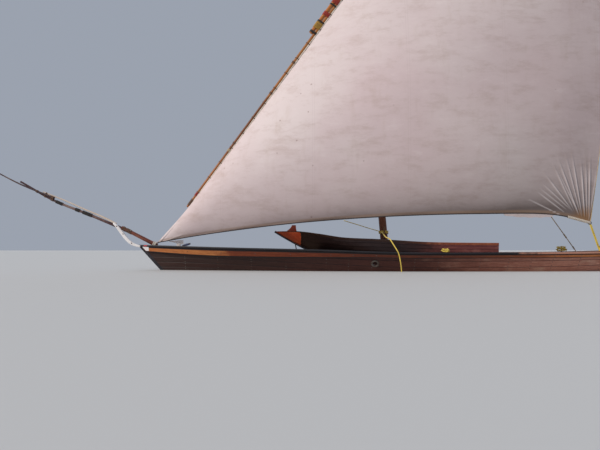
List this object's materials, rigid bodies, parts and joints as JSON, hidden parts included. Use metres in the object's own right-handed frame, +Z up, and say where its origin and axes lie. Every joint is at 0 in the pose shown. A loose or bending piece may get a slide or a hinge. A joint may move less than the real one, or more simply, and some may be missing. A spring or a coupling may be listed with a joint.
{
  "type": "sailing dhow",
  "caption": "Small open sailing dhow with a raked stem, raised wash strakes, a lateen sail on a long yard, a long bowsprit and a hung rudder.",
  "frame": {"origin": "on the centreline amidships, at the height of the water when the boat is afloat", "axes": "+X towards the stern, +Y towards starboard, +Z up; the bow points to -X"},
  "size_m": [10.2183, 1.6928, 9.8589],
  "materials": {
    "hull_planks": "oiled red-brown hardwood, worn",
    "keel_timber": "rough oiled timber",
    "black_paint": "worn black paint on wood",
    "rail_varnish": "golden varnish",
    "deck_boards": "bare weathered boards",
    "frame_timber": "rough sawn timber",
    "wash_boards": "dark tarred boards",
    "red_paint": "faded red paint on wood",
    "white_paint": "chipped white paint on wood",
    "mast_wood": "oiled round pole",
    "yard_wood": "scraped round poles, orange brown",
    "bowsprit_wood": "dark round poles",
    "grey_pole": "weathered thin pole",
    "sailcloth": "stained off-white cotton",
    "yellow_rope": "twisted yellow rope",
    "pale_rope": "twisted coir rope",
    "iron": "forged iron, dull grey"
  },
  "bodies": {
    "hull": {"keel": "keel_timber", "stem": "black_paint", "sternpost": "keel_timber", "bottom_planking_starboard": "hull_planks", "bow_planking_starboard": "hull_planks", "bow_planking_port": "hull_planks", "side_planking_starboard": "hull_planks", "bottom_planking_port": "hull_planks", "side_planking_port": "hull_planks", "transom": "hull_planks", "scupper_ring_starboard": "iron", "scupper_ring_port": "iron", "rub_rail_starboard": "rail_varnish", "rub_rail_port": "rail_varnish", "cap_rail_starboard": "black_paint", "cap_rail_port": "black_paint", "foredeck": "deck_boards", "bridge_deck": "deck_boards", "stern_deck": "deck_boards", "side_deck_starboard": "deck_boards", "side_deck_port": "deck_boards", "cockpit_deck_starboard": "deck_boards", "cockpit_deck_port": "deck_boards", "frames_starboard": "frame_timber", "frames_port": "frame_timber", "keelson": "frame_timber", "bottom_boards": "deck_boards", "mast_thwart": "deck_boards", "middle_thwart": "deck_boards", "helm_thwart": "deck_boards", "wash_strake_starboard": "wash_boards", "wash_strake_port": "wash_boards", "strake_nose": "red_paint", "mast": "mast_wood", "mast_truck": "mast_wood", "shroud_fore": "pale_rope", "shroud_aft": "pale_rope", "halyard_fall": "pale_rope", "bowsprit_inner": "bowsprit_wood", "bowsprit_outer": "bowsprit_wood", "bowsprit_tip": "grey_pole", "stem_knee": "white_paint", "sheet": "yellow_rope", "fore_bitt": "white_paint", "mast_cleat": "frame_timber", "loose_rope": "yellow_rope", "rope_knot": "yellow_rope", "gudgeon_upper": "iron", "gudgeon_lower": "iron"},
    "rig": {"yard_lower": "yard_wood", "yard_upper": "yard_wood", "yard_lashing_lower": "yellow_rope", "yard_lashing_upper": "yellow_rope", "parrel": "pale_rope", "halyard_tye": "pale_rope", "sail": "sailcloth"},
    "steering": {"rudder": "hull_planks", "tiller": "bowsprit_wood", "pintle_upper": "iron", "pintle_lower": "iron"}
  },
  "joints": [
    {"name": "yard_swing", "type": "hinge", "parent": "hull", "child": "rig", "pos_m": [-0.11, 0, 0.243], "axis": [0.0859, 0, -0.9963], "range_deg": [-8, 45]},
    {"name": "rudder_turn", "type": "hinge", "parent": "hull", "child": "steering", "pos_m": [3.72916, 0, 0], "axis": [0.44, 0, 0.898], "range_deg": [-35, 35]}
  ]
}
